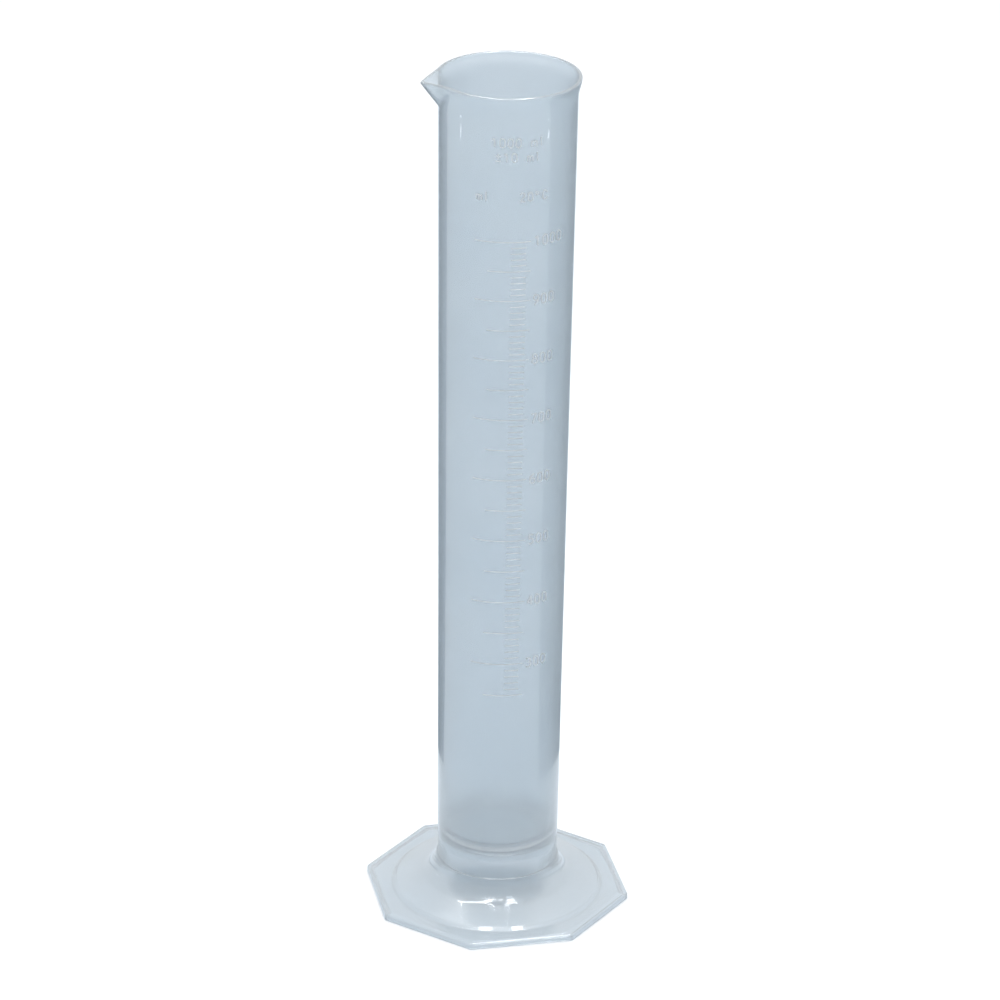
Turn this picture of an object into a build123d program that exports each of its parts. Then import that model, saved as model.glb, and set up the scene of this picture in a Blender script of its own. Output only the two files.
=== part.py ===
"""Tall graduated measuring cylinder of 1000 ml, moulded in translucent polypropylene.

Millimetres.  The origin is the centre of the resting plane, +Z runs up the tube, the pouring
spout points along -X and the scale faces -Y.  The real thing is one moulding, so every node is
a region of that moulding, and neighbouring regions meet face to face.
"""
from build123d import *
from math import asin, cos, degrees, pi, radians, sin, sqrt, tan
import os

# ---------------------------------------------------------------- driving dimensions
HEIGHT = 450.0                 # resting plane to the top of the rim
FOOT_ACROSS_CORNERS = 139.6    # octagonal foot, corner to opposite corner
TUBE_RADIUS_LOW = 30.95        # outside of the tube, carried down to the resting plane
TUBE_RADIUS_HIGH = 34.15       # outside of the tube where the rim begins
WALL_LOW = 2.35                # tube wall, carried down to the resting plane
WALL_HIGH = 1.35               # tube wall where the rim begins: the core has more draft than the mould
FOOT_WALL = 2.0                # wall of the foot
RIM_RADIUS = 35.9              # widest outside of the flared rim
SPOUT_REACH = 45.6             # axis to the tip of the spout, before its rounding
RELIEF = 0.35                  # how far lines and characters stand out of the wall

# ---------------------------------------------------------------- tube, floor and rim
COLLAR_TOP = 21.0              # the foot ends and the bare tube begins
FLOOR_EDGE = 38.3              # inside floor of the tube, where it meets the wall
FLOOR_SAG = 5.0                # the floor is dished by this much at its middle
FLOOR_THICKNESS = 2.4
RIM_BOTTOM = 434.0
RIM_BEND = (0.2, 7.0)          # the rim opens by only this much, this high above its lower edge
RIM_MOUTH_RADIUS = 34.0        # inside of the rim's lip
LIP_RADIUS = (RIM_RADIUS - RIM_MOUTH_RADIUS) / 2
RIM_WIDEST = HEIGHT - LIP_RADIUS   # the rim flares up to this height, then rounds over

# ---------------------------------------------------------------- spout
SPOUT_BOTTOM = 434.2           # the keel of the spout leaves the wall here
SPOUT_HALF_ANGLE = asin(RIM_RADIUS / SPOUT_REACH)  # seen from above, each lip is tangent to the rim
SPOUT_DROP = 1.2               # the tip lies this far below the rim
SPOUT_WALL = 2.0
KEEL_RADIUS = 2.4              # rounding of the spout's outer keel
CHANNEL_KEEL_RADIUS = 0.9
CHANNEL_OVERRUN = 1.2          # the channel's cutter is this many times the keel's length

# ---------------------------------------------------------------- foot
SIDES = 8
FLANGE_TOP = 3.6
FLANGE_CIRCLE = 54.5           # the round bell ends and the octagonal flange begins here
FLANGE_STEP = 1.1              # the bell ends this far above the flange
COLLAR_LEDGE = 0.7             # the collar stands out of the tube by this much
BELL_SLOPE = radians(16.5)     # fall of the straight part of the bell
BELL_FILLET = 11.0             # concave rounding between the collar and that slope
FOOT_CORNER_RADIUS = 2.5
FOOT_EDGE_RADIUS = 1.0

# ---------------------------------------------------------------- scale
FIRST_LINE_ML = 250
LAST_LINE_ML = 1000
STEP_ML = 10
MIDDLE_STEP_ML = 50
LONG_STEP_ML = 100
FIRST_NUMBER_ML = 300
CUBIC_MM_PER_ML = 1000.0
LINE_HEIGHT = 0.55             # height of a graduation line
LONG_LINE = (231.0, 279.0)     # azimuths of a line's ends, in degrees, seen from above
MIDDLE_LINE = (242.5, 279.0)
SHORT_LINE = (262.0, 275.0)
NUMERAL_LEFT = 282.0           # azimuth where each number begins
NUMERAL_HEIGHT = 5.0
TITLE_HEIGHT = 4.4
STROKE = 0.75                  # width of a character's strokes
MARKS = {                      # text, azimuth of its middle, height of its middle
    "capacity_mark": ("1000 ml", 267.0, 427.0),
    "tolerance_mark": ("±10 ml", 267.0, 419.5),
    "unit_mark": ("ml", 238.0, 399.0),
    "temperature_mark": ("20°C", 281.0, 399.0),
}

TAPER = (TUBE_RADIUS_HIGH - TUBE_RADIUS_LOW) / RIM_BOTTOM
INNER_TAPER = TAPER + (WALL_LOW - WALL_HIGH) / RIM_BOTTOM


def outer_radius(z):
    """Outside radius of the tapered tube at a height."""
    return TUBE_RADIUS_LOW + TAPER * z


def inner_radius(z):
    """Inside radius of the tapered tube at a height."""
    return TUBE_RADIUS_LOW - WALL_LOW + INNER_TAPER * z


def turned(*edges):
    """Solid turned about the Z axis from a closed outline in the XZ plane."""
    return revolve(make_face(edges), Axis.Z)


# ---------------------------------------------------------------- tube and floor
def make_tube():
    return turned(Polyline(
        (inner_radius(COLLAR_TOP), 0, COLLAR_TOP),
        (outer_radius(COLLAR_TOP), 0, COLLAR_TOP),
        (outer_radius(RIM_BOTTOM), 0, RIM_BOTTOM),
        (inner_radius(RIM_BOTTOM), 0, RIM_BOTTOM),
        close=True,
    ))


def dish(edge_z):
    """Spherical dish line, from the axis out to the tube's wall at a height."""
    edge_x = inner_radius(edge_z)
    sphere = (edge_x ** 2 + FLOOR_SAG ** 2) / (2 * FLOOR_SAG)
    middle_x = edge_x / 2
    middle_z = edge_z - FLOOR_SAG + sphere - sqrt(sphere ** 2 - middle_x ** 2)
    return ThreePointArc((0, 0, edge_z - FLOOR_SAG), (middle_x, 0, middle_z), (edge_x, 0, edge_z))


def make_floor():
    top = dish(FLOOR_EDGE)
    bottom = dish(FLOOR_EDGE - FLOOR_THICKNESS)
    return turned(top, Line(top @ 1, bottom @ 1), bottom, Line(bottom @ 0, top @ 0))


# ---------------------------------------------------------------- rim and spout
def flare(low_radius, wide_radius):
    """Line of the rim that rises almost straight and then opens out below the lip."""
    low = Vector(low_radius, 0, RIM_BOTTOM)
    bend = low + Vector(RIM_BEND[0], 0, RIM_BEND[1])
    wide = Vector(wide_radius, 0, RIM_WIDEST)
    return Spline(low, bend, wide, tangents=((TAPER, 0, 1), (0, 0, 1)))


def rim_outside():
    return flare(outer_radius(RIM_BOTTOM), RIM_RADIUS)


def rim_inside():
    return flare(inner_radius(RIM_BOTTOM), RIM_MOUTH_RADIUS)


def rim_ring():
    """The flared rim as a full ring with a round lip."""
    outside = rim_outside()
    inside = rim_inside()
    lip_top = (RIM_RADIUS - LIP_RADIUS, 0, HEIGHT)
    lip = ThreePointArc(outside @ 1, lip_top, inside @ 1)
    return turned(outside, lip, inside, Line(inside @ 0, outside @ 0))


def rim_envelope():
    """Everything inside the rim's outer surface, the mouth filled in."""
    outside = rim_outside()
    over_lip = (RIM_RADIUS, 0, HEIGHT + LIP_RADIUS)
    axis_top = (0, 0, HEIGHT + LIP_RADIUS)
    axis_bottom = (0, 0, RIM_BOTTOM)
    return turned(
        outside,
        Line(outside @ 1, over_lip),
        Line(over_lip, axis_top),
        Line(axis_top, axis_bottom),
        Line(axis_bottom, outside @ 0),
    )


def beak(apex_inset, keel_radius, overrun):
    """V-shaped wedge, leaning outward along the spout's keel from the wall to the tip."""
    tip_x = -(SPOUT_REACH - apex_inset)
    foot_x = -(outer_radius(SPOUT_BOTTOM) - apex_inset)
    keel = Vector(tip_x - foot_x, 0, HEIGHT - SPOUT_BOTTOM)
    depth = SPOUT_REACH
    half_width = depth * tan(SPOUT_HALF_ANGLE)
    vee = make_face(Polyline((0, 0), (depth, half_width), (depth, -half_width), close=True))
    vee = fillet(vee.vertices().sort_by(Axis.X)[0], keel_radius)
    wedge = extrude(Pos(foot_x, 0, SPOUT_BOTTOM) * vee, keel.length * overrun, dir=keel)
    # The two lips touch the rim here, so the wedge goes no further in.
    lip_end = -RIM_RADIUS * sin(SPOUT_HALF_ANGLE)
    keep = Pos(lip_end, 0, SPOUT_BOTTOM) * Box(
        2 * SPOUT_REACH, 2 * SPOUT_REACH, HEIGHT, align=(Align.MAX, Align.CENTER, Align.MIN))
    return wedge & keep


def channel():
    """The space inside the spout, run past the top of the rim."""
    return beak(SPOUT_WALL / sin(SPOUT_HALF_ANGLE), CHANNEL_KEEL_RADIUS, CHANNEL_OVERRUN)


def above_lip():
    """What is cut away above the spout, whose lip falls a little towards the tip."""
    rim_x = -RIM_RADIUS
    fall = SPOUT_DROP / (SPOUT_REACH - RIM_RADIUS)
    far_x = -2 * SPOUT_REACH
    side = make_face(Polyline(
        (rim_x, 0, HEIGHT),
        (far_x, 0, HEIGHT + (far_x - rim_x) * fall),
        (far_x, 0, 2 * HEIGHT),
        (rim_x, 0, 2 * HEIGHT),
        close=True,
    ))
    return extrude(side, SPOUT_REACH, dir=(0, 1, 0), both=True)


def make_rim():
    return rim_ring() - channel()


def make_spout():
    return beak(0, KEEL_RADIUS, 1.0) - rim_envelope() - channel() - above_lip()


# ---------------------------------------------------------------- foot
def make_bell():
    collar = outer_radius(COLLAR_TOP) + COLLAR_LEDGE
    hollow = inner_radius(COLLAR_TOP)
    end_z = FLANGE_TOP + FLANGE_STEP
    underside = FOOT_WALL / cos(BELL_SLOPE)
    slope = tan(BELL_SLOPE)
    outside = FilletPolyline(
        (collar, 0, COLLAR_TOP),
        (collar, 0, end_z + (FLANGE_CIRCLE - collar) * slope),
        (FLANGE_CIRCLE, 0, end_z),
        (FLANGE_CIRCLE, 0, FLANGE_TOP),
        radius=(BELL_FILLET, FLANGE_STEP / 2),
    )
    thin_x = FLANGE_CIRCLE - FOOT_WALL
    inside = FilletPolyline(
        (hollow, 0, COLLAR_TOP),
        (hollow, 0, end_z + (FLANGE_CIRCLE - hollow) * slope - underside),
        (thin_x, 0, end_z + FOOT_WALL * slope - underside),
        (FLANGE_CIRCLE, 0, FLANGE_TOP - FOOT_WALL),
        radius=(BELL_FILLET, FOOT_WALL),
    )
    return turned(outside, Line(outside @ 1, inside @ 1), inside, Line(inside @ 0, outside @ 0))


def octagon(across_corners):
    """Octagon with its flats square to the X and Y axes."""
    return RegularPolygon(across_corners / 2, SIDES, rotation=180 / SIDES)


def inner_across_corners():
    return FOOT_ACROSS_CORNERS - 2 * FOOT_WALL / cos(pi / SIDES)


def make_flange():
    plate = octagon(inner_across_corners()) - Circle(FLANGE_CIRCLE)
    return Pos(0, 0, FLANGE_TOP - FOOT_WALL) * extrude(plate, FOOT_WALL)


def make_foot_edge():
    block = extrude(octagon(FOOT_ACROSS_CORNERS), FLANGE_TOP)
    block = fillet(block.edges().filter_by(Axis.Z), FOOT_CORNER_RADIUS)
    block = fillet(block.faces().sort_by(Axis.Z)[-1].edges(), FOOT_EDGE_RADIUS)
    return block - extrude(octagon(inner_across_corners()), FLANGE_TOP)


# ---------------------------------------------------------------- graduation lines
def height_of(millilitres):
    """Height that a volume fills the tapered tube to, above its dished floor."""
    floor_radius = inner_radius(FLOOR_EDGE)
    dish_volume = pi * FLOOR_SAG / 6 * (3 * floor_radius ** 2 + FLOOR_SAG ** 2)
    cone_volume = millilitres * CUBIC_MM_PER_ML - dish_volume
    radius = (floor_radius ** 3 + 3 * INNER_TAPER * cone_volume / pi) ** (1 / 3)
    return (radius - inner_radius(0)) / INNER_TAPER


def graduation(millilitres, ends):
    """One raised line on the wall, its section a low ridge."""
    z = height_of(millilitres)
    base = LINE_HEIGHT / 2
    crest = LINE_HEIGHT / 4
    ridge = make_face(Polyline(
        (outer_radius(z - base), 0, z - base),
        (outer_radius(z - crest) + RELIEF, 0, z - crest),
        (outer_radius(z + crest) + RELIEF, 0, z + crest),
        (outer_radius(z + base), 0, z + base),
        close=True,
    ))
    start, end = ends
    return Rot(0, 0, start) * revolve(ridge, Axis.Z, revolution_arc=end - start)


def make_lines(spacing, skip, ends):
    """Lines at every multiple of a spacing, without those that a longer line stands for."""
    return [
        graduation(volume, ends)
        for volume in range(FIRST_LINE_ML, LAST_LINE_ML + 1, STEP_ML)
        if volume % spacing == 0 and (skip is None or volume % skip)
    ]


# ---------------------------------------------------------------- raised characters
# Each stroke on a cell 0.6 wide and 1 high: two points make a line, three make an arc.
CHARACTER_WIDTH = 0.6
CHARACTER_PITCH = 0.88
ALPHABET = {
    "0": [((0.04, 0.7), (0.3, 1), (0.56, 0.7)), ((0.56, 0.7), (0.56, 0.3)),
          ((0.56, 0.3), (0.3, 0), (0.04, 0.3)), ((0.04, 0.3), (0.04, 0.7))],
    "1": [((0.1, 0.78), (0.34, 1)), ((0.34, 1), (0.34, 0))],
    "2": [((0.06, 0.78), (0.3, 1), (0.52, 0.7)), ((0.52, 0.7), (0.06, 0)), ((0.02, 0), (0.58, 0))],
    "3": [((0.06, 0.86), (0.5, 0.8), (0.24, 0.54)), ((0.24, 0.54), (0.54, 0.26), (0.04, 0.12))],
    "4": [((0.44, 0), (0.44, 1)), ((0.44, 1), (0.04, 0.3)), ((0.04, 0.3), (0.6, 0.3))],
    "5": [((0.54, 1), (0.1, 1)), ((0.12, 1), (0.09, 0.54)), ((0.09, 0.54), (0.55, 0.3), (0.05, 0.1))],
    "6": [((0.48, 0.98), (0.14, 0.72), (0.04, 0.3)), ((0.04, 0.29), (0.3, 0.56), (0.56, 0.29)),
          ((0.56, 0.29), (0.3, 0), (0.04, 0.29))],
    "7": [((0.04, 1), (0.58, 1)), ((0.56, 1), (0.22, 0))],
    "8": [((0.3, 1), (0.08, 0.78), (0.3, 0.55)), ((0.3, 0.55), (0.52, 0.78), (0.3, 1)),
          ((0.3, 0.55), (0.03, 0.27), (0.3, 0)), ((0.3, 0), (0.57, 0.27), (0.3, 0.55))],
    "9": [((0.12, 0.02), (0.46, 0.28), (0.56, 0.7)), ((0.56, 0.71), (0.3, 0.44), (0.04, 0.71)),
          ((0.04, 0.71), (0.3, 1), (0.56, 0.71))],
    "m": [((0, 0), (0, 0.62)), ((0, 0.4), (0.15, 0.6), (0.3, 0.4)), ((0.3, 0.4), (0.3, 0)),
          ((0.3, 0.4), (0.45, 0.6), (0.6, 0.4)), ((0.6, 0.4), (0.6, 0))],
    "l": [((0.24, 1), (0.24, 0))],
    "C": [((0.56, 0.76), (0.3, 1), (0.04, 0.7)), ((0.04, 0.7), (0.04, 0.3)),
          ((0.04, 0.3), (0.3, 0), (0.56, 0.24))],
    "°": [((0.04, 0.84), (0.2, 1), (0.36, 0.84)), ((0.36, 0.84), (0.2, 0.68), (0.04, 0.84))],
    "±": [((0.3, 0.94), (0.3, 0.34)), ((0.02, 0.64), (0.58, 0.64)), ((0.02, 0.08), (0.58, 0.08))],
    " ": [],
}


def stroke(points):
    """One stroke of a character as a flat face."""
    path = Line(*points) if len(points) == 2 else ThreePointArc(*points)
    return trace(path, STROKE)


def text_length(text):
    """Length of a text, as a multiple of its height."""
    return (len(text) - 1) * CHARACTER_PITCH + CHARACTER_WIDTH


def lettering(text, height, azimuth, z):
    """Characters raised on the wall, centred on an azimuth and a height."""
    angle = radians(azimuth)
    on_wall = Plane(
        origin=(outer_radius(z) * cos(angle), outer_radius(z) * sin(angle), z),
        x_dir=(-sin(angle), cos(angle), 0),
        z_dir=(cos(angle), sin(angle), 0),
    )
    low, high = z - height, z + height
    skin = turned(Polyline(
        (outer_radius(low), 0, low),
        (outer_radius(low) + RELIEF, 0, low),
        (outer_radius(high) + RELIEF, 0, high),
        (outer_radius(high), 0, high),
        close=True,
    ))
    solids = []
    for place, character in enumerate(text):
        left = place * CHARACTER_PITCH - text_length(text) / 2
        strokes = [
            stroke([((left + x) * height, (y - 0.5) * height) for x, y in points])
            for points in ALPHABET[character]
        ]
        if strokes:
            flat = Sketch() + strokes
            block = extrude(on_wall * flat, height, both=True)
            solids += (skin & block).solids()
    return solids


def make_numerals():
    """Numbers beside the long lines."""
    solids = []
    for volume in range(FIRST_NUMBER_ML, LAST_LINE_ML + 1, LONG_STEP_ML):
        z = height_of(volume)
        half_turn = degrees(text_length(str(volume)) * NUMERAL_HEIGHT / 2 / outer_radius(z))
        solids += lettering(str(volume), NUMERAL_HEIGHT, NUMERAL_LEFT + half_turn, z)
    return solids


# ---------------------------------------------------------------- the whole part
PARTS = {
    "measuring_tube": make_tube(),
    "tube_floor": make_floor(),
    "mouth_rim": make_rim(),
    "pouring_spout": make_spout(),
    "foot_bell": make_bell(),
    "foot_flange": make_flange(),
    "foot_edge": make_foot_edge(),
    "lines_10_ml": make_lines(STEP_ML, MIDDLE_STEP_ML, SHORT_LINE),
    "lines_50_ml": make_lines(MIDDLE_STEP_ML, LONG_STEP_ML, MIDDLE_LINE),
    "lines_100_ml": make_lines(LONG_STEP_ML, None, LONG_LINE),
    "scale_numerals": make_numerals(),
}
for name, (text, azimuth, middle_z) in MARKS.items():
    PARTS[name] = lettering(text, TITLE_HEIGHT, azimuth, middle_z)

os.makedirs("parts", exist_ok=True)
for name, shape in PARTS.items():
    solids = shape if isinstance(shape, list) else shape.solids()
    whole = Compound(children=list(solids)) if len(solids) > 1 else solids[0]
    export_step(whole, f"parts/{name}.step")
    print(f"{name}: {len(solids)} solids")
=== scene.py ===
"""Looks of a tall graduated cylinder: one moulded body of translucent polypropylene."""
from math import asin, atan, cos, pi, radians, sin, sqrt, tan

import bpy
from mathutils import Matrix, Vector, noise


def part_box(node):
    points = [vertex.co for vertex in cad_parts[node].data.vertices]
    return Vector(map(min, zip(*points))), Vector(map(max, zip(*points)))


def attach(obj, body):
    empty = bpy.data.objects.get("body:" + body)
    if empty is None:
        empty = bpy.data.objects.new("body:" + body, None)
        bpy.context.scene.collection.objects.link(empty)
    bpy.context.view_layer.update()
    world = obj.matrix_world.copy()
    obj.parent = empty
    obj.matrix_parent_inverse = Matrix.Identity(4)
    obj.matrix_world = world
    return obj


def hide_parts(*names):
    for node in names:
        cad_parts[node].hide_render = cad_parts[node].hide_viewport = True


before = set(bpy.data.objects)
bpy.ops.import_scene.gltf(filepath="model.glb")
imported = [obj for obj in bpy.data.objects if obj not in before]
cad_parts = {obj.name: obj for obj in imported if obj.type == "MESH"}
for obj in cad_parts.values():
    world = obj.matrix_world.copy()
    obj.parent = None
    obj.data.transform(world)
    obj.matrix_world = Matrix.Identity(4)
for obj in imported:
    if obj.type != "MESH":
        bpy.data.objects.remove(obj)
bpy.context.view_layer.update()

MM = 0.001


# ---------------------------------------------------------------- sizes read from the frame
def lowest(node, axis):
    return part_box(node)[0][axis]


def highest(node, axis):
    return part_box(node)[1][axis]


X, Y, Z = 0, 1, 2
HEIGHT = highest("mouth_rim", Z)
RIM_LOW = lowest("mouth_rim", Z)
RIM_RADIUS = highest("mouth_rim", Y)
TUBE_TOP_RADIUS = highest("measuring_tube", Y)
COLLAR_TOP = lowest("measuring_tube", Z)
FLOOR_EDGE = highest("tube_floor", Z)
FLOOR_RADIUS = highest("tube_floor", Y)
FLOOR_LOW = lowest("tube_floor", Z)
SPOUT_TIP = -lowest("pouring_spout", X)
SPOUT_LOW = lowest("pouring_spout", Z)
BELL_RADIUS = highest("foot_bell", Y)
FLANGE_TOP = highest("foot_flange", Z)
FOOT_FLAT = highest("foot_edge", Y)       # axis to the middle of a flat side

# ---------------------------------------------------------------- sizes of the moulding's details
TUBE_FOOT_RADIUS = 30.95 * MM  # outside of the tube, carried down to the resting plane
WALL_HIGH = 1.35 * MM          # tube wall under the rim
FOOT_WALL = 2.0 * MM
SPOUT_WALL = 2.0 * MM
FLOOR_THICKNESS = 2.4 * MM
FLOOR_FILLET = 6.0 * MM
MARK_BED = 0.04 * MM           # the wall stands this proud of the CAD wall, so that marks grow out of it
LIP_WIDTH = 1.9 * MM
MOUTH_RADIUS = RIM_RADIUS - LIP_WIDTH
LIP_RADIUS = (RIM_RADIUS - MOUTH_RADIUS) / 2
OUTSIDE_FLARE = 2.0            # the higher, the nearer to the lip the rim opens out
INSIDE_FLARE = 4.0
COLLAR_LEDGE = 0.7 * MM
LEDGE_ROUND = 0.5 * MM
BELL_SLOPE = radians(16.5)
BELL_FILLET = 11.0 * MM
FLANGE_STEP = 1.1 * MM
STEP_LEAN = 1.3 * MM           # the step's top is this far inside the bell's edge, its foot half as far out
STEP_ROUND = 0.9 * MM
LEDGE_CREASE = 0.3 * MM        # inner rounding where the tube meets the collar's ledge
UNDER_CREASE = 0.6 * MM        # rounding where the flange's underside meets the bell's
FLANGE_START = 2.0 * MM        # the flange's own rings begin this far outside the bell
FOOT_CORNER_RADIUS = 2.5 * MM
FOOT_EDGE_RADIUS = 1.0 * MM
RESTING_ROUND = 0.4 * MM
SIDES = 8

KEEL_ROUND = radians(1.6)      # rounding of the spout's keel, as an angle about the axis
SPOUT_DROP = 1.2 * MM          # the tip lies this far below the rim
SPOUT_FAIRING = 0.9 * MM       # softness of the line where the spout leaves the wall
SPOUT_HALF_ANGLE = asin(RIM_RADIUS / (SPOUT_TIP + 2 * SPOUT_FAIRING))  # its lips are tangent to the rim

WAVE_HEIGHT = 0.035 * MM       # unevenness left by the moulding
WAVE_LENGTH = 26.0 * MM
WAVE_STRETCH = 0.6             # the waves are drawn out along the tube by one over this
WAVE_FADE = 20 * MM            # they fade out over this height below the rim and above the collar


def inner_radius(z):
    taper = (TUBE_TOP_RADIUS - WALL_HIGH - FLOOR_RADIUS) / (RIM_LOW - FLOOR_EDGE)
    return FLOOR_RADIUS + taper * (z - FLOOR_EDGE)


def outer_radius(z):
    taper = (TUBE_TOP_RADIUS - TUBE_FOOT_RADIUS) / RIM_LOW
    return TUBE_FOOT_RADIUS + taper * z + MARK_BED


# ---------------------------------------------------------------- outlines in the plane of radius and height
ARC_STEPS = 8


def filleted(points):
    """Outline through (radius, z, rounding) points, each corner turned into an arc of its rounding."""
    outline = []
    for index, (radius, z, rounding) in enumerate(points):
        corner = Vector((radius, z))
        if not rounding:
            outline.append(corner)
            continue
        back = (Vector(points[index - 1][:2]) - corner).normalized()
        ahead = (Vector(points[index + 1][:2]) - corner).normalized()
        half_angle = back.angle(ahead) / 2
        centre = corner + (back + ahead).normalized() * rounding / sin(half_angle)
        first = corner + back * rounding / tan(half_angle) - centre
        last = corner + ahead * rounding / tan(half_angle) - centre
        turn = first.angle(last)
        for step in range(ARC_STEPS + 1):
            share = step / ARC_STEPS
            blend = (first * sin((1 - share) * turn) + last * sin(share * turn)) / sin(turn)
            outline.append(centre + blend)
    return outline


def divided(outline, longest):
    """The same outline with its long runs cut into pieces no longer than a length."""
    result = [outline[0]]
    for start, end in zip(outline, outline[1:]):
        pieces = max(1, round((end - start).length / longest))
        result += [start.lerp(end, piece / pieces) for piece in range(1, pieces + 1)]
    return result


def dish(edge_radius, edge_z, middle_z, steps=14):
    """Spherical dish from the axis, its first point left out, to an edge."""
    sag = edge_z - middle_z
    sphere = (edge_radius ** 2 + sag ** 2) / (2 * sag)
    points = []
    for step in range(1, steps + 1):
        radius = edge_radius * step / steps
        points.append((radius, middle_z + sphere - sqrt(sphere ** 2 - radius ** 2), 0))
    return points


# ---------------------------------------------------------------- rings of points about the axis
COLUMN_STEP = 1.875            # degrees
FLANGE_SHARES = (0.33, 0.66)   # where the flange's own rings lie between its circle and its edge
# Extra columns beside each corner and beside the keel, in degrees.
CORNER_COLUMNS = (-1.0, -0.66, -0.33, 0.33, 0.66, 1.0)
KEEL_COLUMNS = (-1.4, -0.9, -0.45, 0.45, 0.9, 1.4)


def column_angles():
    """Azimuths of the mesh's columns, closer together at the foot's corners and the spout's keel."""
    angles = {round(step * COLUMN_STEP, 3) for step in range(round(360 / COLUMN_STEP))}
    for side in range(SIDES):
        corner = (side + 0.5) * 360 / SIDES
        angles |= {round(corner + offset, 3) for offset in CORNER_COLUMNS}
    angles |= {round(180 + offset, 3) for offset in KEEL_COLUMNS}
    return [radians(angle) for angle in sorted(angles)]


COLUMNS = column_angles()


def ring(radius_at, z_at):
    """Points about the axis, from two functions of the azimuth."""
    return [
        (radius_at(angle) * cos(angle), radius_at(angle) * sin(angle), z_at(angle))
        for angle in COLUMNS
    ]


def octagon_radius(angle, flat):
    """Distance from the axis to the rounded octagon whose flat sides lie at a distance."""
    sector = 2 * pi / SIDES
    off_flat = abs((angle + sector / 2) % sector - sector / 2)
    off_corner = sector / 2 - off_flat
    corner_centre = (flat - FOOT_CORNER_RADIUS) / cos(sector / 2)
    arc_start = atan((flat - FOOT_CORNER_RADIUS) * tan(sector / 2) / flat)
    if off_flat < arc_start:
        return flat / cos(off_flat)
    across = corner_centre * sin(off_corner)
    return corner_centre * cos(off_corner) + sqrt(FOOT_CORNER_RADIUS ** 2 - across ** 2)


def octagon_ring(flat, z):
    return ring(lambda angle: octagon_radius(angle, flat), lambda angle: z)


def mixed_ring(inner, outer, share):
    return [tuple(Vector(a).lerp(Vector(b), share)) for a, b in zip(inner, outer)]


def wave(radius, angle, z):
    """Small unevenness of the tube's wall."""
    place = Vector((cos(angle) * radius, sin(angle) * radius, z * WAVE_STRETCH)) / WAVE_LENGTH
    return WAVE_HEIGHT * noise.noise(place)


def wall_ring(radius, z):
    """Ring on the tube's wall, its unevenness fading out towards the rim and the foot."""
    above_collar = max(0, (z - COLLAR_TOP) / WAVE_FADE)
    below_rim = max(0, (RIM_LOW - z) / WAVE_FADE)
    fade = min(1, above_collar, below_rim)
    return ring(lambda angle: radius + fade * wave(radius, angle, z), lambda angle: z)


# ---------------------------------------------------------------- rim and spout
def smooth(share):
    return share * share * (3 - 2 * share)


def off_spout(angle):
    return abs(angle - pi)


def beak_radius(angle, apex):
    """Distance from the axis to a V whose apex points along -X, held level past its tangent point."""
    off = sqrt(off_spout(angle) ** 2 + KEEL_ROUND ** 2)
    opening = min(SPOUT_HALF_ANGLE + off, pi / 2)
    return apex * sin(SPOUT_HALF_ANGLE) / sin(opening)


def apex_at(z, circle):
    """Apex of the V whose softened keel rises evenly from the wall at the spout's foot to its tip."""
    share = (z - SPOUT_LOW) / (HEIGHT - SPOUT_LOW)
    foot = outer_radius(SPOUT_LOW)
    reach = max(0, foot + (SPOUT_TIP - foot) * share - circle)
    beyond = (reach + sqrt(reach ** 2 + 4 * reach * SPOUT_FAIRING)) / 2
    return (circle + beyond) * sin(SPOUT_HALF_ANGLE + KEEL_ROUND) / sin(SPOUT_HALF_ANGLE)


def bulge(beyond):
    """How far the spout stands out of the round rim, softened where it begins."""
    return beyond ** 2 / (beyond + SPOUT_FAIRING) if beyond > 0 else 0


def rim_circle(z, outside):
    """Radius of the round rim, which opens out below the lip."""
    share = max(0, (z - RIM_LOW) / (HEIGHT - LIP_RADIUS - RIM_LOW))
    if outside:
        low, wide, lateness = outer_radius(RIM_LOW), RIM_RADIUS, OUTSIDE_FLARE
    else:
        low, wide, lateness = inner_radius(RIM_LOW), MOUTH_RADIUS, INSIDE_FLARE
    return low + (wide - low) * smooth(share ** lateness)


def rim_radius(angle, z, outside):
    """Outside or inside of the rim and its spout, at an azimuth and a height."""
    apex = apex_at(z, rim_circle(z, True))
    if not outside:
        apex -= SPOUT_WALL / sin(SPOUT_HALF_ANGLE)
    circle = rim_circle(z, outside)
    return circle + bulge(beak_radius(angle, apex) - circle)


def lip_drop(angle):
    """The lip falls a little along the spout."""
    top = HEIGHT - LIP_RADIUS
    reach = rim_radius(angle, top, True) - RIM_RADIUS
    return SPOUT_DROP * reach / (SPOUT_TIP - RIM_RADIUS)


def rim_ring(z, outside):
    share = (z - RIM_LOW) / (HEIGHT - RIM_LOW)
    return ring(
        lambda angle: rim_radius(angle, z, outside),
        lambda angle: z - lip_drop(angle) * smooth(share),
    )


RIM_STEPS = 16
LIP_STEPS = 10


def rim_rings():
    """From the inside of the rim, over the round lip, to its outside."""
    top = HEIGHT - LIP_RADIUS
    heights = [RIM_LOW + (top - RIM_LOW) * step / RIM_STEPS for step in range(1, RIM_STEPS)]
    inside = [rim_ring(z, False) for z in heights]
    outside = [rim_ring(z, True) for z in reversed(heights)]
    lip = []
    inner, outer = rim_ring(top, False), rim_ring(top, True)
    for step in range(LIP_STEPS + 1):
        turn = pi * step / LIP_STEPS
        rise = LIP_RADIUS * sin(turn)
        across = mixed_ring(inner, outer, (1 - cos(turn)) / 2)
        lip.append([(x, y, z + rise) for x, y, z in across])
    return inside + lip + outside


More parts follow.
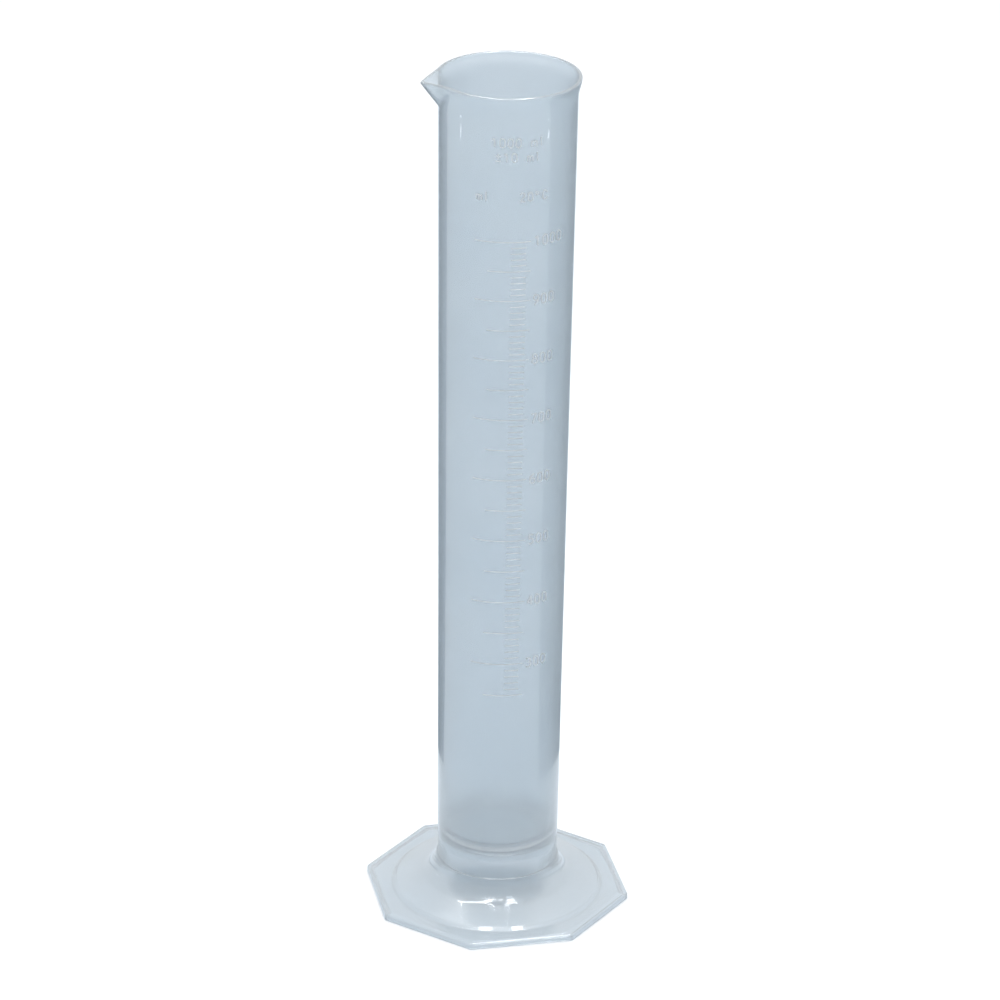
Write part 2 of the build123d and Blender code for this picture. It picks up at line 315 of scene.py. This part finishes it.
# ---------------------------------------------------------------- the whole body
def inside_outline():
    """From the axis along the dished floor and up the inner wall to the rim."""
    points = dish(FLOOR_RADIUS, FLOOR_EDGE, FLOOR_LOW + FLOOR_THICKNESS)
    edge_radius, edge_z, _ = points.pop()
    points = [point for point in points if point[0] < edge_radius - FLOOR_FILLET]
    points.append((edge_radius, edge_z, FLOOR_FILLET))
    points.append((inner_radius(RIM_LOW), RIM_LOW, 0))
    return filleted(points)


def outside_outline():
    """From the rim down the tube, over the collar and the bell, to the top of the flange."""
    collar = outer_radius(COLLAR_TOP) + COLLAR_LEDGE
    bell_end = FLANGE_TOP + FLANGE_STEP
    return filleted([
        (outer_radius(RIM_LOW), RIM_LOW, 0),
        (outer_radius(COLLAR_TOP), COLLAR_TOP, LEDGE_CREASE),
        (collar, COLLAR_TOP, LEDGE_ROUND),
        (collar, bell_end + (BELL_RADIUS - collar) * tan(BELL_SLOPE), BELL_FILLET),
        (BELL_RADIUS - STEP_LEAN, bell_end + STEP_LEAN * tan(BELL_SLOPE), STEP_ROUND),
        (BELL_RADIUS + STEP_LEAN / 2, FLANGE_TOP, STEP_ROUND),
        (BELL_RADIUS + FLANGE_START, FLANGE_TOP, 0),
    ])


def underside_outline():
    """From the flange's underside, up the hollow, to the axis under the floor."""
    hollow = inner_radius(COLLAR_TOP)
    bell_end = FLANGE_TOP + FLANGE_STEP
    drop = FOOT_WALL / cos(BELL_SLOPE)
    thin = BELL_RADIUS - FOOT_WALL
    under = FLANGE_TOP - FOOT_WALL
    floor_under = [
        point for point in reversed(dish(hollow, FLOOR_EDGE - FLOOR_THICKNESS, FLOOR_LOW))
        if point[0] < hollow - FLOOR_FILLET
    ]
    return filleted([
        (BELL_RADIUS + FLANGE_START, under, 0),
        (BELL_RADIUS, under, UNDER_CREASE),
        (thin, bell_end + FOOT_WALL * tan(BELL_SLOPE) - drop, FOOT_WALL),
        (hollow, bell_end + (BELL_RADIUS - hollow) * tan(BELL_SLOPE) - drop, BELL_FILLET),
        (hollow, FLOOR_EDGE - FLOOR_THICKNESS, FLOOR_FILLET),
    ] + floor_under)


def flange_rings():
    """From the round foot of the bell, over the octagonal edge, to the flange's underside."""
    top_circle = ring(lambda angle: BELL_RADIUS + FLANGE_START, lambda angle: FLANGE_TOP)
    top_edge = octagon_ring(FOOT_FLAT - FOOT_EDGE_RADIUS, FLANGE_TOP)
    rings = [mixed_ring(top_circle, top_edge, share) for share in FLANGE_SHARES]
    for step in range(ARC_STEPS + 1):
        turn = pi / 2 * step / ARC_STEPS
        flat = FOOT_FLAT - FOOT_EDGE_RADIUS * (1 - sin(turn))
        rings.append(octagon_ring(flat, FLANGE_TOP - FOOT_EDGE_RADIUS * (1 - cos(turn))))
    for step in range(ARC_STEPS + 1):
        turn = pi / 2 * step / ARC_STEPS
        flat = FOOT_FLAT - RESTING_ROUND * (1 - cos(turn))
        rings.append(octagon_ring(flat, RESTING_ROUND * (1 - sin(turn))))
    inner_flat = FOOT_FLAT - FOOT_WALL
    rings.append(octagon_ring(inner_flat + RESTING_ROUND, 0))
    rings.append(octagon_ring(inner_flat, RESTING_ROUND))
    rings.append(octagon_ring(inner_flat, FLANGE_TOP - FOOT_WALL))
    under_circle = ring(lambda angle: BELL_RADIUS + FLANGE_START, lambda angle: FLANGE_TOP - FOOT_WALL)
    under_edge = rings[-1]
    rings += [mixed_ring(under_edge, under_circle, share) for share in FLANGE_SHARES]
    return rings


WALL_STEP = 6 * MM


def body_rings():
    rings = [wall_ring(*point) for point in divided(inside_outline(), WALL_STEP)]
    rings += rim_rings()
    rings += [wall_ring(*point) for point in divided(outside_outline(), WALL_STEP)]
    rings += flange_rings()
    rings += [wall_ring(*point) for point in divided(underside_outline(), WALL_STEP)]
    return rings


def skinned(name, rings, first_pole, last_pole):
    """Closed mesh through rings of points, shut by a fan of triangles at each end."""
    count = len(COLUMNS)
    points = [first_pole] + [point for one in rings for point in one] + [last_pole]
    faces = []
    for row in range(len(rings) - 1):
        here = 1 + row * count
        for column in range(count):
            beside = (column + 1) % count
            faces.append((
                here + column, here + count + column,
                here + count + beside, here + beside,
            ))
    last_row = 1 + (len(rings) - 1) * count
    for column in range(count):
        beside = (column + 1) % count
        faces.append((0, 1 + column, 1 + beside))
        faces.append((last_row + beside, last_row + column, len(points) - 1))
    mesh = bpy.data.meshes.new(name)
    mesh.from_pydata(points, [], faces)
    mesh.validate()
    for polygon in mesh.polygons:
        polygon.use_smooth = True
    piece = bpy.data.objects.new(name, mesh)
    bpy.context.collection.objects.link(piece)
    return piece


# ---------------------------------------------------------------- materials
CLOUD_SCALE = 14               # noise scales, in cells for each metre
HAZE_SCALE = 60
PEEL_SCALE = 260
PEEL_STRENGTH = 0.12
PEEL_DEPTH = 0.05 * MM
PLASTIC_IOR = 1.49
SURFACE_ROUGHNESS = 0.04       # the polished outer skin, over a cloudy inside
HAZE_LOW = 0.3                 # noise values that give the smoothest and the roughest spots
HAZE_HIGH = 0.7


def new_material(name):
    material = bpy.data.materials.new(name)
    material.use_nodes = True
    nodes = material.node_tree.nodes
    return material, nodes, material.node_tree.links, nodes["Principled BSDF"]


def noise_node(nodes, links, place, scale, detail):
    texture = nodes.new("ShaderNodeTexNoise")
    texture.inputs["Scale"].default_value = scale
    texture.inputs["Detail"].default_value = detail
    links.new(place, texture.inputs["Vector"])
    return texture.outputs["Fac"]


def ramp(nodes, links, factor, low_colour, high_colour, low_at=0.35, high_at=0.65):
    colours = nodes.new("ShaderNodeValToRGB")
    colours.color_ramp.elements[0].position = low_at
    colours.color_ramp.elements[0].color = (*low_colour, 1)
    colours.color_ramp.elements[1].position = high_at
    colours.color_ramp.elements[1].color = (*high_colour, 1)
    links.new(factor, colours.inputs["Fac"])
    return colours.outputs["Color"]


def ranged(nodes, links, factor, from_low, from_high, to_low, to_high):
    mapped = nodes.new("ShaderNodeMapRange")
    mapped.inputs["From Min"].default_value = from_low
    mapped.inputs["From Max"].default_value = from_high
    mapped.inputs["To Min"].default_value = to_low
    mapped.inputs["To Max"].default_value = to_high
    links.new(factor, mapped.inputs["Value"])
    return mapped.outputs["Result"]


def plastic(name, pale, deep, transmission, smoothest, roughest):
    """Moulded polypropylene: cloudy colour, uneven gloss and faint orange peel."""
    material, nodes, links, shader = new_material(name)
    place = nodes.new("ShaderNodeTexCoord").outputs["Object"]
    cloud = noise_node(nodes, links, place, CLOUD_SCALE, 3)
    links.new(ramp(nodes, links, cloud, deep, pale), shader.inputs["Base Color"])

    haze = noise_node(nodes, links, place, HAZE_SCALE, 4)
    gloss = ranged(nodes, links, haze, HAZE_LOW, HAZE_HIGH, smoothest, roughest)
    links.new(gloss, shader.inputs["Roughness"])

    peel = noise_node(nodes, links, place, PEEL_SCALE, 2)
    bump = nodes.new("ShaderNodeBump")
    bump.inputs["Strength"].default_value = PEEL_STRENGTH
    bump.inputs["Distance"].default_value = PEEL_DEPTH
    links.new(peel, bump.inputs["Height"])
    links.new(bump.outputs["Normal"], shader.inputs["Normal"])

    shader.inputs["IOR"].default_value = PLASTIC_IOR
    shader.inputs["Coat Weight"].default_value = 1.0
    shader.inputs["Coat Roughness"].default_value = SURFACE_ROUGHNESS
    shader.inputs["Transmission Weight"].default_value = transmission
    return material


def give_material(piece, material):
    piece.data.materials.clear()
    piece.data.materials.append(material)


# ---------------------------------------------------------------- pieces
BODY_NODES = (
    "measuring_tube", "tube_floor", "mouth_rim", "pouring_spout",
    "foot_bell", "foot_flange", "foot_edge",
)

# Ranges of roughness that reached across about 0.27 rendered in patches, so neither does.
polypropylene = plastic(
    "polypropylene", pale=(0.90, 0.95, 0.98), deep=(0.86, 0.92, 0.96),
    transmission=0.75, smoothest=0.18, roughest=0.26)
raised = plastic(
    "raised_marks", pale=(0.97, 0.99, 1.0), deep=(0.95, 0.98, 1.0),
    transmission=0.45, smoothest=0.29, roughest=0.34)

body = skinned(
    "moulded_body", body_rings(),
    (0, 0, FLOOR_LOW + FLOOR_THICKNESS), (0, 0, FLOOR_LOW))
give_material(body, polypropylene)
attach(body, "root")
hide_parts(*BODY_NODES)

for name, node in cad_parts.items():
    if name not in BODY_NODES:
        for material_slot in node.material_slots:
            material_slot.material = raised


# ---------------------------------------------------------------- stage
FLOOR_SIZE = 14
FLOOR_SEEN = (0.96, 0.965, 0.97)
FLOOR_LIT = (0.36, 0.40, 0.44)      # what the plastic meets instead: a dimmer floor that glows
FLOOR_GLOW = (0.88, 0.94, 1.0)
FLOOR_GLOW_STRENGTH = 0.40
CARD_HEIGHT = 1 * MM
CARD_STEPS = 24
# The left and right cards are dark. They paint darker reflections, and painted shade seen through the
# plastic, on the tube's sides. The card under the foot paints shade into the hollow under the tube's floor.
CARDS = {                           # sector in degrees, reach from the axis in metres, colour
    "left_dark_reflection_card": (-62, -22, 0.16, 1.6, (0.16, 0.20, 0.24)),
    "right_dark_reflection_card": (20, 105, 0.16, 1.6, (0.24, 0.29, 0.33)),
    "shade_under_foot": (0, 360, 0, 0.024, (0.76, 0.86, 0.94)),
}
SKY_COLOUR = (0.94, 0.97, 1.0)
SKY_STRENGTH = 0.8


def by_ray(tree, seen, lighting):
    """Mixes two shaders: one for what the camera sees, one for how the thing lights others."""
    path = tree.nodes.new("ShaderNodeLightPath")
    mix = tree.nodes.new("ShaderNodeMixShader")
    tree.links.new(path.outputs["Is Camera Ray"], mix.inputs["Fac"])
    tree.links.new(lighting, mix.inputs[1])
    tree.links.new(seen, mix.inputs[2])
    return mix.outputs["Shader"]


def make_floor():
    bpy.ops.mesh.primitive_plane_add(size=FLOOR_SIZE)
    floor = bpy.context.object
    floor.name = "studio_floor"
    material, nodes, links, shader = new_material("studio_floor")
    nodes.remove(shader)
    seen = nodes.new("ShaderNodeBsdfDiffuse")
    seen.inputs["Color"].default_value = (*FLOOR_SEEN, 1)
    lighting = nodes.new("ShaderNodeBsdfPrincipled")
    lighting.inputs["Base Color"].default_value = (*FLOOR_LIT, 1)
    lighting.inputs["Roughness"].default_value = 1.0
    lighting.inputs["Emission Color"].default_value = (*FLOOR_GLOW, 1)
    lighting.inputs["Emission Strength"].default_value = FLOOR_GLOW_STRENGTH
    surface = by_ray(material.node_tree, seen.outputs[0], lighting.outputs[0])
    links.new(surface, nodes["Material Output"].inputs["Surface"])
    give_material(floor, material)


def make_card(name, first, last, near, far, colour):
    """Card lying on the floor over a sector, which only reflections and the plastic show, so that its colour
    paints shade into them.
    """
    points = []
    for step in range(CARD_STEPS + 1):
        turn = radians(first + (last - first) * step / CARD_STEPS)
        for reach in (near, far):
            points.append(camera_axes(reach * sin(turn), reach * cos(turn), CARD_HEIGHT))
    faces = [
        (2 * step, 2 * step + 1, 2 * step + 3, 2 * step + 2)
        for step in range(CARD_STEPS)
    ]
    mesh = bpy.data.meshes.new(name)
    mesh.from_pydata(points, [], faces)
    card = bpy.data.objects.new(name, mesh)
    bpy.context.collection.objects.link(card)
    material, _, _, shader = new_material(name)
    shader.inputs["Base Color"].default_value = (*colour, 1)
    shader.inputs["Roughness"].default_value = 1.0
    give_material(card, material)
    card.visible_camera = False
    card.visible_diffuse = False
    card.visible_shadow = False


def make_world():
    world = bpy.data.worlds.new("studio")
    bpy.context.scene.world = world
    world.use_nodes = True
    tree = world.node_tree
    seen = tree.nodes["Background"]
    seen.inputs["Color"].default_value = (1, 1, 1, 1)
    lighting = tree.nodes.new("ShaderNodeBackground")
    lighting.inputs["Color"].default_value = (*SKY_COLOUR, 1)
    lighting.inputs["Strength"].default_value = SKY_STRENGTH
    surface = by_ray(tree, seen.outputs[0], lighting.outputs[0])
    tree.links.new(surface, tree.nodes["World Output"].inputs["Surface"])


# ---------------------------------------------------------------- lights and camera
PANEL_ASIDE = 0.36                  # metres, and watts for powers
PANEL_AWAY = 0.1
PANEL_HEIGHT = 2.0
PANEL_WIDTH = 0.26
PANEL_LENGTH = 1.9
PANEL_POWER = 14
STRIP_WIDTH = 0.03
STRIP_POWER = 0.75                  # watts for each metre of a strip's height
STRIPS = {                          # right of the axis, away from the camera, up, height
    "strip_far_left": (-0.70, 0.37, 0.172, 0.024),
    "strip_left_high": (-0.78, -0.1, 0.178, 0.026),
    "strip_left_low": (-0.78, -0.1, 0.144, 0.012),
    "strip_right_high": (0.78, -0.3, 0.156, 0.014),
    "strip_right_low": (0.78, -0.3, 0.124, 0.010),
}
WINDOWS_RIGHT = {"window_left": -0.07, "window_right": 0.12}    # how far right of the axis
WINDOW_AWAY = -0.6
WINDOW_UP = 1.6
WINDOW_WIDTH = 0.11
WINDOW_LENGTH = 0.35
WINDOW_POWER = 0.6

CAMERA_AZIMUTH = radians(258.1)     # from the axis to the camera, seen from above
CAMERA_DISTANCE = 4.644 * HEIGHT
CAMERA_HEIGHT = 2.631 * HEIGHT
CAMERA_PITCH = radians(24.7)
CAMERA_ROLL = 0.015                 # radians
CAMERA_LENS = 163.7
CAMERA_SENSOR = 36
CAMERA_SHIFT = -0.0024


def camera_axes(right, away, up):
    """Point given in directions seen by the camera: to its right, away from it, and up."""
    turn = CAMERA_AZIMUTH + pi / 2
    return Vector((
        right * cos(turn) - away * sin(turn),
        right * sin(turn) + away * cos(turn),
        up,
    ))


def area_light(name, place, aim, width, length, power, shine_only=False):
    data = bpy.data.lights.new(name, "AREA")
    data.shape = "RECTANGLE"
    data.size = width
    data.size_y = length
    data.energy = power
    light = bpy.data.objects.new(name, data)
    light.location = place
    light.rotation_euler = (aim - place).to_track_quat("-Z", "Y").to_euler()
    light.visible_camera = False
    light.visible_diffuse = not shine_only
    light.visible_transmission = not shine_only
    bpy.context.collection.objects.link(light)


def make_lights():
    """Two long ceiling panels, and small strips and windows that only show as highlights."""
    for side in (-1, 1):
        panel = camera_axes(PANEL_ASIDE * side, PANEL_AWAY, PANEL_HEIGHT)
        under = camera_axes(PANEL_ASIDE * side, PANEL_AWAY, 0)
        area_light(f"panel_{side}", panel, under, PANEL_WIDTH, PANEL_LENGTH, PANEL_POWER)
    middle = Vector((0, 0, HEIGHT / 2))
    for name, (right, away, up, height) in STRIPS.items():
        place = camera_axes(right, away, up)
        power = STRIP_POWER * height
        area_light(name, place, middle, STRIP_WIDTH, height, power, shine_only=True)
    foot = Vector((0, 0, COLLAR_TOP))
    for name, right in WINDOWS_RIGHT.items():
        place = camera_axes(right, WINDOW_AWAY, WINDOW_UP)
        area_light(name, place, foot, WINDOW_WIDTH, WINDOW_LENGTH, WINDOW_POWER, shine_only=True)


def make_camera():
    data = bpy.data.cameras.new("camera")
    data.lens = CAMERA_LENS
    data.sensor_width = CAMERA_SENSOR
    data.shift_x = CAMERA_SHIFT
    camera = bpy.data.objects.new("camera", data)
    camera.location = camera_axes(0, -CAMERA_DISTANCE, CAMERA_HEIGHT)
    facing = camera_axes(0, cos(CAMERA_PITCH), -sin(CAMERA_PITCH))
    camera.rotation_euler = facing.to_track_quat("-Z", "Y").to_euler()
    camera.rotation_euler.rotate_axis("Z", CAMERA_ROLL)
    bpy.context.collection.objects.link(camera)
    bpy.context.scene.camera = camera


make_floor()
for card_name, card in CARDS.items():
    make_card(card_name, *card)
make_world()
make_lights()
make_camera()
bpy.context.scene.view_settings.view_transform = "Standard"
